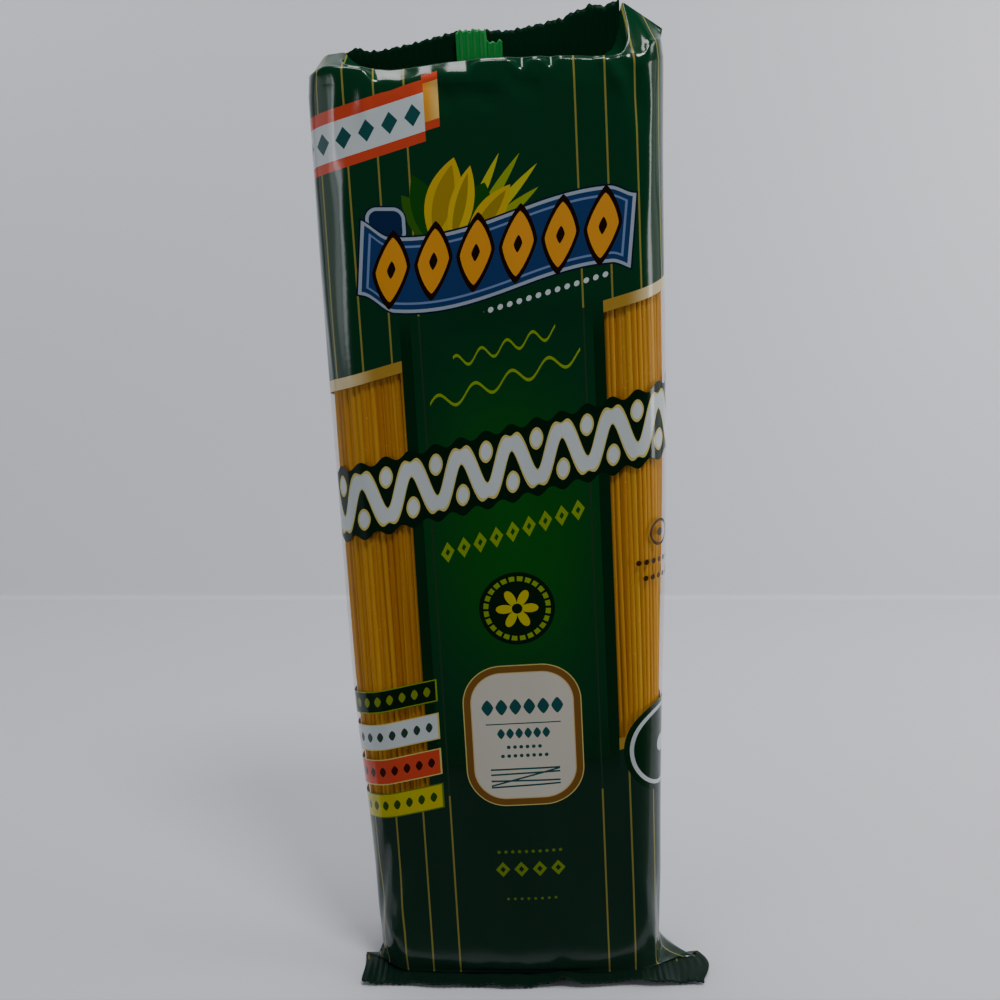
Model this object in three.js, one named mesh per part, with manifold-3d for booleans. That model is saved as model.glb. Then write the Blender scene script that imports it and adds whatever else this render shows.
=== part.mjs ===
import * as THREE from 'three';
import { mergeVertices } from 'three/addons/utils/BufferGeometryUtils.js';
import Module from 'manifold-3d';

// A film packet of spaghetti that stands on its folded bottom seal. Millimetres, +Z up, front at -Y.
// Shapes are worked out in the pack's own frame (across, deep, high) and then leant over onto the floor.

// Stance
const leanAngle = THREE.MathUtils.degToRad(3); // the pack stands crooked, its top towards -X
const footX = 4.89; // where the middle line of the front meets the floor
const shiftY = 1.3; // centres the footprint between fin and back

// Body
const halfGirth = 109; // flat width of the film tube
const frontFace = -15;
const cornerRadius = 10.5;
const leftEdgeFoot = -45.4;
const leftEdgeStep = 2.3; // the fill pushes the left edge out this much, above the foot
const leftEdgeSwell = 0.5;
const rightEdgeFoot = 39;
const rightEdgeTop = 47.2;
const rightEdgeSwell = 1;
const panelCrown = 1.0; // how far the wide faces swell
const foldHeight = 265.5; // front fold line at the top, in the middle
const foldRiseLeft = 2.8; // the fold line is higher at the two sides
const foldRiseRight = 4.5;
const filmWall = 0.8; // film and the air it traps, as one wall
const bendHeights = [40, 80, 130, 190]; // film, seam, core and strands all bend at these heights

// Top end: a valley behind the fold, and a crimped fin that stands up out of it
const valleyHeight = 261.5;
const finLeft = -37;
const finRight = 36;
const finTopLeft = 270.3;
const finTopRight = 279.2;
const finThick = 1.3;
const toothPitch = 2.4;
const toothDepth = 0.9;

// Foot: the tube flattens into a wider fin that is folded forward on the floor
const floorFinThick = 1.1;
const floorFinRootY = -3;
const floorFinLeft = -51;
const floorFinRight = 48.1;
const floorFinEdgeY = -20.2;
const floorFinBow = 2.2; // the middle of its front edge comes this much further forward
const earReachLeft = 3.5;
const earReachRight = 12.5;
const earRootY = -8; // the corners are drawn forward to here
const ankleHeight = 5; // below this the corners spread out flat
const hipLeft = 8;
const hipFront = 4;
const hipRight = 17;

// Lengthwise seam on the back
const seamHalf = 5.5;
const seamThick = 0.7;

// Windows: clear film from the front, round each side, to the back corner
const windowLeft = -27;
const windowRight = 28.3;
const windowTop = 191.5; // on the middle line, from where the edge slants up to the right
const windowFoot = 68.3;
const printSlant = 0.245;
const windowReach = 5; // how far back the clear film runs

// Spaghetti
const strandRadius = 0.9;
const strandPitch = 1.85;
const strandFoot = 7;
const strandTop = 255;
const slack = 0.35; // air between film and pasta
const sunk = 0.4; // the strands' middles lie this deep in the core

const filmMaterial = new THREE.MeshStandardMaterial({ color: 0x0a3a1e, roughness: 0.25, metalness: 0 });
const pastaMaterial = new THREE.MeshStandardMaterial({ color: 0xc8882c, roughness: 0.6, metalness: 0 });

const wasm = await Module();
wasm.setup();

function toSolid(geometry) {
  geometry.deleteAttribute('normal');
  geometry.deleteAttribute('uv');
  const merged = mergeVertices(geometry, 1e-4);
  const mesh = new wasm.Mesh({
    numProp: 3,
    vertProperties: Float32Array.from(merged.attributes.position.array),
    triVerts: Uint32Array.from(merged.index.array),
  });
  return new wasm.Manifold(mesh);
}

function toGeometry(solid) {
  const mesh = solid.getMesh();
  const geometry = new THREE.BufferGeometry();
  geometry.setAttribute('position', new THREE.BufferAttribute(Float32Array.from(mesh.vertProperties), 3));
  geometry.setIndex(Array.from(mesh.triVerts));
  geometry.computeVertexNormals();
  return geometry;
}

// From the pack's own frame to the floor's
function stand(across, deep, high) {
  return new THREE.Vector3(
    footX + across * Math.cos(leanAngle) - high * Math.sin(leanAngle),
    deep + shiftY,
    across * Math.sin(leanAngle) + high * Math.cos(leanAngle),
  );
}

// The same, but with its height above the floor set
function standAt(across, deep, floorHeight) {
  const high = (floorHeight - across * Math.sin(leanAngle)) / Math.cos(leanAngle);
  const point = stand(across, deep, high);
  point.z = floorHeight;
  return point;
}

function leftEdge(high) {
  const step = leftEdgeStep * THREE.MathUtils.smoothstep(high, 30, 100);
  return leftEdgeFoot - step - leftEdgeSwell * Math.sin(Math.PI * high / foldHeight);
}

function rightEdge(high) {
  const swell = rightEdgeSwell * Math.sin(Math.PI * THREE.MathUtils.smoothstep(high, 40, foldHeight));
  return THREE.MathUtils.lerp(rightEdgeFoot, rightEdgeTop, high / foldHeight) + swell;
}

// The film's girth is the same at every height, so the pack is deeper where it is narrower
function backFace(high) {
  const width = rightEdge(high) - leftEdge(high);
  return frontFace + halfGirth - width + (4 - Math.PI) * cornerRadius;
}

function midDepth(high) {
  return (frontFace + backFace(high)) / 2;
}

// One level section: a rounded rectangle with crowned wide faces, anticlockwise from the front's left end
function outline(high, inset = 0) {
  const left = leftEdge(high) + cornerRadius;
  const right = rightEdge(high) - cornerRadius;
  const front = frontFace + cornerRadius;
  const back = backFace(high) - cornerRadius;
  const radius = cornerRadius - inset;
  const corners = [[right, front, -90], [right, back, 0], [left, back, 90], [left, front, 180]];
  const cornerSteps = 5;
  const points = [];
  const addFace = (from, to, y, outward) => {
    const steps = 8;
    for (let step = 1; step < steps; step += 1) {
      const t = step / steps;
      const swell = panelCrown * 4 * t * (1 - t);
      points.push([THREE.MathUtils.lerp(from, to, t), y + outward * swell]);
    }
  };
  corners.forEach(([x, y, startAngle], index) => {
    if (index === 0) {
      addFace(left, right, frontFace + inset, -1);
    }
    if (index === 2) {
      addFace(right, left, backFace(high) - inset, 1);
    }
    for (let step = 0; step <= cornerSteps; step += 1) {
      const angle = THREE.MathUtils.degToRad(startAngle + 90 * step / cornerSteps);
      points.push([x + radius * Math.cos(angle), y + radius * Math.sin(angle)]);
    }
  });
  return points;
}

// A point on the section, by the way travelled along the film from the front's middle line
function pointAlong(high, inset, travel) {
  const side = Math.sign(travel);
  const reach = side > 0 ? rightEdge(high) : -leftEdge(high);
  const flat = reach - cornerRadius;
  const arc = cornerRadius * Math.PI / 2;
  const radius = cornerRadius - inset;
  const straight = backFace(high) - frontFace - 2 * cornerRadius;
  const beyond = Math.abs(travel) - flat;
  if (beyond <= 0) {
    return [travel, frontFace + inset];
  }
  if (beyond > arc && beyond < arc + straight) {
    return [side * (reach - inset), frontFace + cornerRadius + beyond - arc];
  }
  const nearBack = beyond > arc;
  const angle = (nearBack ? beyond - straight : beyond) / cornerRadius;
  const centre = nearBack ? backFace(high) - cornerRadius : frontFace + cornerRadius;
  return [side * (flat + radius * Math.sin(angle)), centre - radius * Math.cos(angle)];
}

// A closed skin through rings of equal count, with a lid on the first and the last
function loft(rings) {
  const count = rings[0].length;
  const positions = rings.flat().flatMap((point) => point.toArray());
  const index = [];
  for (let row = 0; row + 1 < rings.length; row += 1) {
    for (let column = 0; column < count; column += 1) {
      const a = row * count + column;
      const b = row * count + (column + 1) % count;
      index.push(a, b, b + count, a, b + count, a + count);
    }
  }
  const addLid = (row, flip) => {
    const flat = rings[row].map((point) => new THREE.Vector2(point.x, point.y));
    for (const [a, b, c] of THREE.ShapeUtils.triangulateShape(flat, [])) {
      const corners = flip ? [a, c, b] : [a, b, c];
      index.push(...corners.map((corner) => row * count + corner));
    }
  };
  addLid(0, true);
  addLid(rings.length - 1, false);
  const geometry = new THREE.BufferGeometry();
  geometry.setAttribute('position', new THREE.Float32BufferAttribute(positions, 3));
  geometry.setIndex(index);
  return geometry;
}

function ringAt(high, inset) {
  return outline(high, inset).map(([across, deep]) => stand(across, deep, high));
}

function foldLine(across) {
  const rise = across > 0 ? foldRiseRight : foldRiseLeft;
  return foldHeight + rise * (across / rightEdgeTop) ** 6;
}

function finTop(across) {
  const t = THREE.MathUtils.clamp((across - finLeft) / (finRight - finLeft), 0, 1);
  return THREE.MathUtils.lerp(finTopLeft, finTopRight, t);
}

// How far a point of the section is towards the middle of a narrow side: 0 on the wide faces, 1 there
function sideShare(across, deep, high) {
  const half = (backFace(high) - frontFace) / 2;
  const past = Math.max(0, Math.abs(across) - (rightEdgeFoot - cornerRadius)) / cornerRadius;
  const centred = 1 - Math.min(1, Math.abs(deep - midDepth(high)) / half);
  return past > 0 ? centred : 0;
}

function footRing(floorHeight, inset) {
  return outline(0, inset).map(([across, deep]) => {
    const share = sideShare(across, deep, 0) ** 1.4;
    const out = across > 0 ? earReachRight * share : -earReachLeft * share;
    const drawn = THREE.MathUtils.lerp(deep, earRootY, share * 0.8);
    return standAt(across + out, drawn, floorHeight);
  });
}

// Where the corners stop falling straight down and begin to spread
function ankleRing() {
  return outline(0, 0.8).map(([across, deep]) => {
    const share = sideShare(across, deep, 0);
    const out = across > 0 ? 0.2 * earReachRight * share : -0.2 * earReachLeft * share;
    return standAt(across + out, deep, THREE.MathUtils.lerp(2.2, ankleHeight, share));
  });
}

function hipRing() {
  return outline(hipFront).map(([across, deep]) => {
    const share = THREE.MathUtils.clamp((Math.abs(across) - 8) / 30, 0, 1) ** 2;
    const corner = across > 0 ? hipRight : hipLeft;
    return standAt(across, deep, THREE.MathUtils.lerp(hipFront, corner, share));
  });
}

function foldRing(drop, inset) {
  return outline(foldHeight, inset).map(([across, deep]) => stand(across, deep, foldLine(across) - drop));
}

function valleyRing() {
  const middle = midDepth(foldHeight);
  const centre = (finLeft + finRight) / 2;
  const half = (finRight - finLeft) / 2;
  const reach = (rightEdge(foldHeight) - leftEdge(foldHeight)) / 2;
  const bodyCentre = (rightEdge(foldHeight) + leftEdge(foldHeight)) / 2;
  return outline(foldHeight).map(([across, deep]) => {
    const t = (across - bodyCentre) / reach;
    const placed = centre + half * t;
    const squeezed = middle + (deep - middle) * finThick / (backFace(foldHeight) - frontFace);
    const high = THREE.MathUtils.lerp(valleyHeight, finTop(placed) - 2, Math.abs(t) ** 6);
    return stand(placed, squeezed, high);
  });
}

function bodySolid() {
  const rings = [footRing(0, 2.5), footRing(floorFinThick, 1.5), ankleRing(), hipRing()];
  for (const high of [24, ...bendHeights, 250]) {
    rings.push(ringAt(high, 0));
  }
  rings.push(foldRing(4, 0), foldRing(1, 0.7), foldRing(0, 2.4), valleyRing());
  return toSolid(loft(rings));
}

// A flat outline, thickened. place turns its two directions and its depth into a point
function plate(points, thick, place) {
  const shape = new THREE.Shape(points.map(([x, y]) => new THREE.Vector2(x, y)));
  const geometry = new THREE.ExtrudeGeometry(shape, { depth: thick, bevelEnabled: false });
  const position = geometry.attributes.position;
  for (let index = 0; index < position.count; index += 1) {
    const point = place(position.getX(index), position.getY(index), position.getZ(index));
    position.setXYZ(index, point.x, point.y, point.z);
  }
  return geometry;
}

// Saw teeth between two ends of a cut edge. edge gives the tip line, side the way from tips to notches
function teeth(from, to, edge, side) {
  const count = Math.round(Math.abs(to - from) / toothPitch);
  const points = [];
  for (let step = 0; step <= 2 * count; step += 1) {
    const x = THREE.MathUtils.lerp(from, to, step / (2 * count));
    points.push([x, edge(x) + side * (step % 2 ? 0 : toothDepth)]);
  }
  return points;
}

function topFinSolid() {
  const edge = teeth(finRight, finLeft, finTop, -1);
  const points = [[finLeft, valleyHeight - 3], [finRight, valleyHeight - 3], ...edge];
  const front = midDepth(foldHeight) - finThick / 2;
  // The outline's normal is taken backwards, so the plate is built back to front
  return toSolid(plate(points, finThick, (across, high, depth) => stand(across, front + finThick - depth, high)));
}

function floorFinSolid() {
  const width = floorFinRight - floorFinLeft;
  const frontEdge = (x) => floorFinEdgeY - floorFinBow * Math.sin(Math.PI * (x - floorFinLeft) / width);
  const edge = teeth(floorFinLeft, floorFinRight, frontEdge, 1);
  const ear = [[floorFinRight + 3.6, -12.3], [floorFinRight + 2.9, -8]];
  const root = [[37, floorFinRootY], [-44, floorFinRootY], [floorFinLeft + 2, -3.4]];
  const place = (x, y, depth) => new THREE.Vector3(footX + x, y + shiftY, depth);
  return toSolid(plate([...edge, ...ear, ...root], floorFinThick, place));
}

function seamSolid() {
  const rings = [];
  for (const high of [14, ...bendHeights, foldHeight - 4]) {
    const back = backFace(high) + panelCrown;
    const middle = rightEdge(high) + leftEdge(high);
    const [left, right] = [middle - seamHalf, middle + seamHalf];
    const ring = [[left, back - 1.5], [right, back - 1.5], [right, back + seamThick], [left, back + seamThick]];
    rings.push(ring.map(([across, deep]) => stand(across, deep, high)));
  }
  return toSolid(loft(rings));
}

function coreSolid(inset, foot, top) {
  const rings = [foot, ...bendHeights, top].map((high) => ringAt(high, inset));
  return toSolid(loft(rings));
}

// A block with slanted ends that takes out one window, front, side and near back corner
function windowCutter(side) {
  const inner = side > 0 ? windowRight : -windowLeft;
  const outer = 62;
  const near = -30;
  const box = new THREE.BoxGeometry(outer - inner, windowReach - near, windowTop - windowFoot);
  box.translate((outer + inner) / 2, (windowReach + near) / 2, (windowTop + windowFoot) / 2);
  const position = box.attributes.position;
  for (let index = 0; index < position.count; index += 1) {
    const across = side * position.getX(index);
    const deep = position.getY(index);
    const high = position.getZ(index) + printSlant * (across + side * (deep - frontFace));
    const point = stand(across, deep, high);
    position.setXYZ(index, point.x, point.y, point.z);
  }
  if (side < 0) {
    const index = box.index.array;
    for (let at = 0; at < index.length; at += 3) {
      [index[at], index[at + 1]] = [index[at + 1], index[at]];
    }
  }
  return toSolid(box);
}

function strandSolid(travel, phase) {
  const inset = filmWall + slack + strandRadius;
  const sides = 6;
  const rings = [strandFoot, ...bendHeights, strandTop].map((high) => {
    const drift = 0.35 * Math.sin(high / 40 + phase);
    const [across, deep] = pointAlong(high, inset, travel + drift);
    return Array.from({ length: sides }, (_, side) => {
      const angle = 2 * Math.PI * side / sides;
      return stand(across + strandRadius * Math.cos(angle), deep + strandRadius * Math.sin(angle), high);
    });
  });
  return toSolid(loft(rings));
}

// Strands lie side by side wherever the film is clear, half sunk in the rest of the bundle
function spaghettiSolid() {
  const inset = filmWall + slack + strandRadius;
  let bundle = coreSolid(inset - sunk, strandFoot - 1, strandTop - 1);
  const lastTravel = 66;
  for (const side of [-1, 1]) {
    const first = (side > 0 ? windowRight : -windowLeft) - 2;
    for (let travel = first; travel < lastTravel; travel += strandPitch) {
      bundle = bundle.add(strandSolid(side * travel, travel * 0.2));
    }
  }
  return bundle;
}

function wrapperSolid() {
  let film = bodySolid().add(topFinSolid()).add(floorFinSolid()).add(seamSolid());
  film = film.subtract(coreSolid(filmWall, strandFoot - 2, strandTop + 1));
  // Slivers where the fins meet the body are merged away
  return film.subtract(windowCutter(-1)).subtract(windowCutter(1)).simplify(0.005);
}

const packet = new THREE.Group();

const wrapper = new THREE.Mesh(toGeometry(wrapperSolid()), filmMaterial);
wrapper.name = 'film_wrapper';
packet.add(wrapper);

const spaghetti = new THREE.Mesh(toGeometry(spaghettiSolid()), pastaMaterial);
spaghetti.name = 'spaghetti';
packet.add(spaghetti);

export default packet;
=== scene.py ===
import math
import random

import bpy
import numpy as np
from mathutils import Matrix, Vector


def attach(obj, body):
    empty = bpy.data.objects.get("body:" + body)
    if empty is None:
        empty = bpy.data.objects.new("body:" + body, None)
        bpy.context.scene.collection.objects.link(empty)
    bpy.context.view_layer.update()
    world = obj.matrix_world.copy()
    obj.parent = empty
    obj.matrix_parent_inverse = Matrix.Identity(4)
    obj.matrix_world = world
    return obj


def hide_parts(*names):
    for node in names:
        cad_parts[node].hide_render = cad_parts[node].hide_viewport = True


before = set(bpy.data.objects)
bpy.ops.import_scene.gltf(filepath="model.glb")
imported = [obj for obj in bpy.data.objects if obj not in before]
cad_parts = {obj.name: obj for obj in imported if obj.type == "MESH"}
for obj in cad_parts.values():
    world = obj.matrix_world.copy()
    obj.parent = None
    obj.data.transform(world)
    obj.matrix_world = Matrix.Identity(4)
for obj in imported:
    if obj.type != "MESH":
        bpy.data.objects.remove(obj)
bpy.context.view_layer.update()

mm = 0.001
print("frame loaded")

# Places below are in millimetres in the pack's own frame: across from the middle line of the front,
# deep towards the back, high along the pack. stand() leans them onto the floor.
pack = {
    "lean": math.radians(3),
    "footX": 4.89,
    "shiftY": 1.3,
    "halfGirth": 109,  # flat width of the film tube
    "frontFace": -15,
    "corner": 10.5,
    "leftFoot": -45.4,
    "leftStep": 2.3,  # the fill pushes the left edge out this much above the foot
    "leftSwell": 0.5,
    "rightFoot": 39.0,
    "rightTop": 47.2,
    "rightSwell": 1.0,
    "crown": 1.0,
    "fold": 265.5,  # height of the top fold line in the middle
}


def stand(across, deep, high):
    lean = pack["lean"]
    x = pack["footX"] + across * math.cos(lean) - high * math.sin(lean)
    z = across * math.sin(lean) + high * math.cos(lean)
    return Vector((x, deep + pack["shiftY"], z))


def standAt(across, deep, floorHeight):
    lean = pack["lean"]
    high = (floorHeight - across * math.sin(lean)) / math.cos(lean)
    place = stand(across, deep, high)
    place.z = floorHeight
    return place


def clamp(value, low=0.0, high=1.0):
    return min(max(value, low), high)


def smooth(value, low=0.0, high=1.0):
    t = clamp((value - low) / (high - low))
    return t * t * (3 - 2 * t)


def mix(a, b, share):
    return a + (b - a) * share


def leftEdge(high):
    swell = pack["leftSwell"] * math.sin(math.pi * clamp(high / pack["fold"]))
    return pack["leftFoot"] - pack["leftStep"] * smooth(high, 30, 100) - swell


def rightEdge(high):
    swell = pack["rightSwell"] * math.sin(math.pi * smooth(high, 40, pack["fold"]))
    return mix(pack["rightFoot"], pack["rightTop"], high / pack["fold"]) + swell


# The film's girth is the same at every height, so the pack is deeper where it is narrower
def backFace(high):
    width = rightEdge(high) - leftEdge(high)
    return pack["frontFace"] + pack["halfGirth"] - width + (4 - math.pi) * pack["corner"]


def midDepth(high):
    return (pack["frontFace"] + backFace(high)) / 2


# A point of the level section, by the way travelled along the film from the front's middle line
def sectionPlace(high, travel, inset=0.0):
    side = 1 if travel >= 0 else -1
    corner = pack["corner"]
    radius = corner - inset
    front = pack["frontFace"]
    back = backFace(high)
    reach = rightEdge(high) if side > 0 else -leftEdge(high)
    flat = reach - corner
    arc = corner * math.pi / 2
    straight = back - front - 2 * corner
    way = abs(travel)
    midAcross = (leftEdge(high) + rightEdge(high)) / 2
    flatHalf = (rightEdge(high) - leftEdge(high)) / 2 - corner

    def swell(across):
        t = clamp(abs(across - midAcross) / flatHalf)
        return pack["crown"] * (1 - t * t)

    if way <= flat:
        return travel, front + inset - swell(travel)
    way -= flat
    if way <= arc:
        angle = way / corner
        return side * (flat + radius * math.sin(angle)), front + corner - radius * math.cos(angle)
    way -= arc
    if way <= straight:
        return side * (reach - inset), front + corner + way
    way -= straight
    if way <= arc:
        angle = way / corner
        return side * (flat + radius * math.cos(angle)), back - corner + radius * math.sin(angle)
    way -= arc
    across = side * (flat - way)
    return across, back - inset + swell(across)


def linear(hexColour):
    parts = [int(hexColour[at:at + 2], 16) / 255 for at in (1, 3, 5)]
    return [c / 12.92 if c <= 0.04045 else ((c + 0.055) / 1.055) ** 2.4 for c in parts] + [1.0]


# Node trees. A Field is a number over the surface, so that shapes read as sums
def addNode(tree, kind, inputs=None, **settings):
    node = tree.nodes.new("ShaderNode" + kind)
    for name, value in settings.items():
        setattr(node, name, value)
    for key, value in (inputs or {}).items():
        value = value.socket if isinstance(value, Field) else value
        if isinstance(value, bpy.types.NodeSocket):
            tree.links.new(value, node.inputs[key])
        else:
            node.inputs[key].default_value = value
    return node


class Field:
    def __init__(self, tree, socket):
        self.tree = tree
        self.socket = socket

    def maths(self, operation, *others):
        inputs = {0: self, **{at + 1: other for at, other in enumerate(others)}}
        return Field(self.tree, addNode(self.tree, "Math", inputs, operation=operation).outputs[0])

    def __add__(self, other):
        return self.maths("ADD", other)

    def __sub__(self, other):
        return self.maths("SUBTRACT", other)

    def __mul__(self, other):
        return self.maths("MULTIPLY", other)

    def __truediv__(self, other):
        return self.maths("DIVIDE", other)

    def __pow__(self, other):
        return self.maths("POWER", other)

    def __gt__(self, other):
        return self.maths("GREATER_THAN", other)

    def __lt__(self, other):
        return self.maths("LESS_THAN", other)

    def __abs__(self):
        return self.maths("ABSOLUTE")

    def flip(self):
        return self * -1 + 1

    # Place across the cells of a row that starts at start, from the middle of each cell
    def cell(self, start, pitch):
        return (self - start).maths("WRAP", pitch, 0) - pitch / 2

    def between(self, low, high):
        return abs(self - (low + high) / 2) < (high - low) / 2

    def ramp(self, low, high):
        node = addNode(self.tree, "MapRange", {0: self, 1: low, 2: high}, interpolation_type="SMOOTHSTEP")
        return Field(self.tree, node.outputs[0])


def hypot(a, b):
    return (a * a + b * b) ** 0.5


# Under 1 inside a lozenge. A power above 1 makes its sides fuller
def lozenge(across, up, wide, tall, power=1.0):
    a = abs(across / wide)
    b = abs(up / tall)
    return a + b if power == 1.0 else a ** power + b ** power


# A leaf that is pointed at both ends: under 0 inside it
def leaf(u, v, foot, tilt, long, wide):
    side, rise = math.sin(math.radians(tilt)), math.cos(math.radians(tilt))
    along = ((u - foot[0]) * side + (v - foot[1]) * rise) / long
    off = abs((u - foot[0]) * rise - (v - foot[1]) * side)
    return off - along * along.flip() * 4 * wide


# Signed distance to a box with round corners, in millimetres
def roundBox(u, v, centre, half, corner=0.0, slant=0.0):
    du = u - centre[0]
    dv = v - centre[1] - du * slant
    a = abs(du) - (half[0] - corner)
    b = abs(dv) - (half[1] - corner)
    outside = hypot(a.maths("MAXIMUM", 0), b.maths("MAXIMUM", 0))
    return outside + a.maths("MAXIMUM", b).maths("MINIMUM", 0) - corner


def paint(under, mask, colour):
    tree = mask.tree
    value = linear(colour) if isinstance(colour, str) else colour
    node = addNode(tree, "Mix", {0: mask, 6: under, 7: value}, data_type="RGBA")
    return node.outputs[2]


# The print, in millimetres on the flat film: u round the pack from the front's middle line, v up it
printWork = {
    "slant": 0.245,
    "stripePitch": 8.0,
    "stripeHalf": 0.26,
    "stripeLeft": -21.6,
    "stripeRight": 22.8,
    "windowTop": 191.5,
    "windowFoot": 68.3,
    "windowLeft": -27.0,
    "windowRight": 28.3,
    "windowEnd": 61.5,
    "bandWide": 3.2,
    "green": "#05381f",
    "footGreen": "#183125",
    "deepGreen": "#042a14",
    "glow": "#0f5014",
    "stripe": "#857f3a",
    "faintStripe": "#233a26",
    "gold": "#a88432",
    "paintedGoldHighlight": "#d6c391",
    "white": "#c8d0d2",
    "labelWhite": "#cfc9bb",
    "cream": "#cbbd6c",
    "red": "#c8462c",
    "orange": "#d9922c",
    "blue": "#1c3866",
    "lime": "#7f9a18",
    "yellow": "#b8ae10",
    "teal": "#1a5050",
    "brown": "#7a5424",
}


# Stretch of flat film that the UV map filmFlat holds
flatMap = {"span": 300, "left": -150, "foot": -20}


def flatPlace(across, up):
    return across * flatMap["span"] + flatMap["left"], up * flatMap["span"] + flatMap["foot"]


def printFields(tree):
    flat = addNode(tree, "UVMap", uv_map="filmFlat").outputs[0]
    parts = addNode(tree, "SeparateXYZ", {0: flat})
    return flatPlace(Field(tree, parts.outputs[0]), Field(tree, parts.outputs[1]))


def windowMask(u, v):
    w = printWork
    level = v - u * w["slant"]
    across = abs(u - (w["windowLeft"] + w["windowRight"]) / 2)
    inner = (w["windowRight"] - w["windowLeft"]) / 2
    return (across > inner) * (abs(u) < w["windowEnd"]) * level.between(w["windowFoot"], w["windowTop"])


# The film's ground colour, with the glow of the middle panel, pinstripes and the windows' gold edges, which
# get a painted highlight where they round the corners
def printGround(tree, u, v):
    w = printWork
    level = v - u * w["slant"]
    middle = abs(u - 0.6)
    glow = hypot((u - 1) / 36, (v - 137) / 66).ramp(1.0, 0.2)
    panel = (middle < 24.6) * v.between(70, 200)
    # Greyer green towards the foot: footGreen fully below 90 mm, the plain green fully above 215 mm
    ground = paint(linear(w["green"]), v.ramp(215, 90), w["footGreen"])
    ground = paint(ground, (middle < 27.6) * v.ramp(205, 190) * v.ramp(60, 75), w["deepGreen"])
    ground = paint(ground, panel * v.ramp(60, 90) * v.ramp(206, 192), w["green"])
    ground = paint(ground, panel * glow, w["glow"])
    half = w["stripePitch"] / 2
    left = abs(u.cell(w["stripeLeft"] + half, w["stripePitch"]))
    right = abs(u.cell(w["stripeRight"] + half, w["stripePitch"]))
    stripes = (left < w["stripeHalf"]) * (u < -19) + (right < w["stripeHalf"]) * (u > 19)
    ground = paint(ground, stripes * (abs(u) < 100) * v.between(-5, 284), w["stripe"])
    ground = paint(ground, stripes * (middle < 25) * v.between(60, 200), w["faintStripe"])
    outer = (middle > 27.6) * (abs(u) < w["windowEnd"])
    topBand = level.between(w["windowTop"], w["windowTop"] + w["bandWide"])
    footBand = level.between(w["windowFoot"] - w["bandWide"] - 0.4, w["windowFoot"])
    # The gold turns paler round the corners: a painted highlight
    paintedHighlight = abs(u).ramp(34, 42)
    gold = paint(linear(w["gold"]), paintedHighlight, w["paintedGoldHighlight"])
    return paint(ground, outer * (topBand + footBand), gold)


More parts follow.
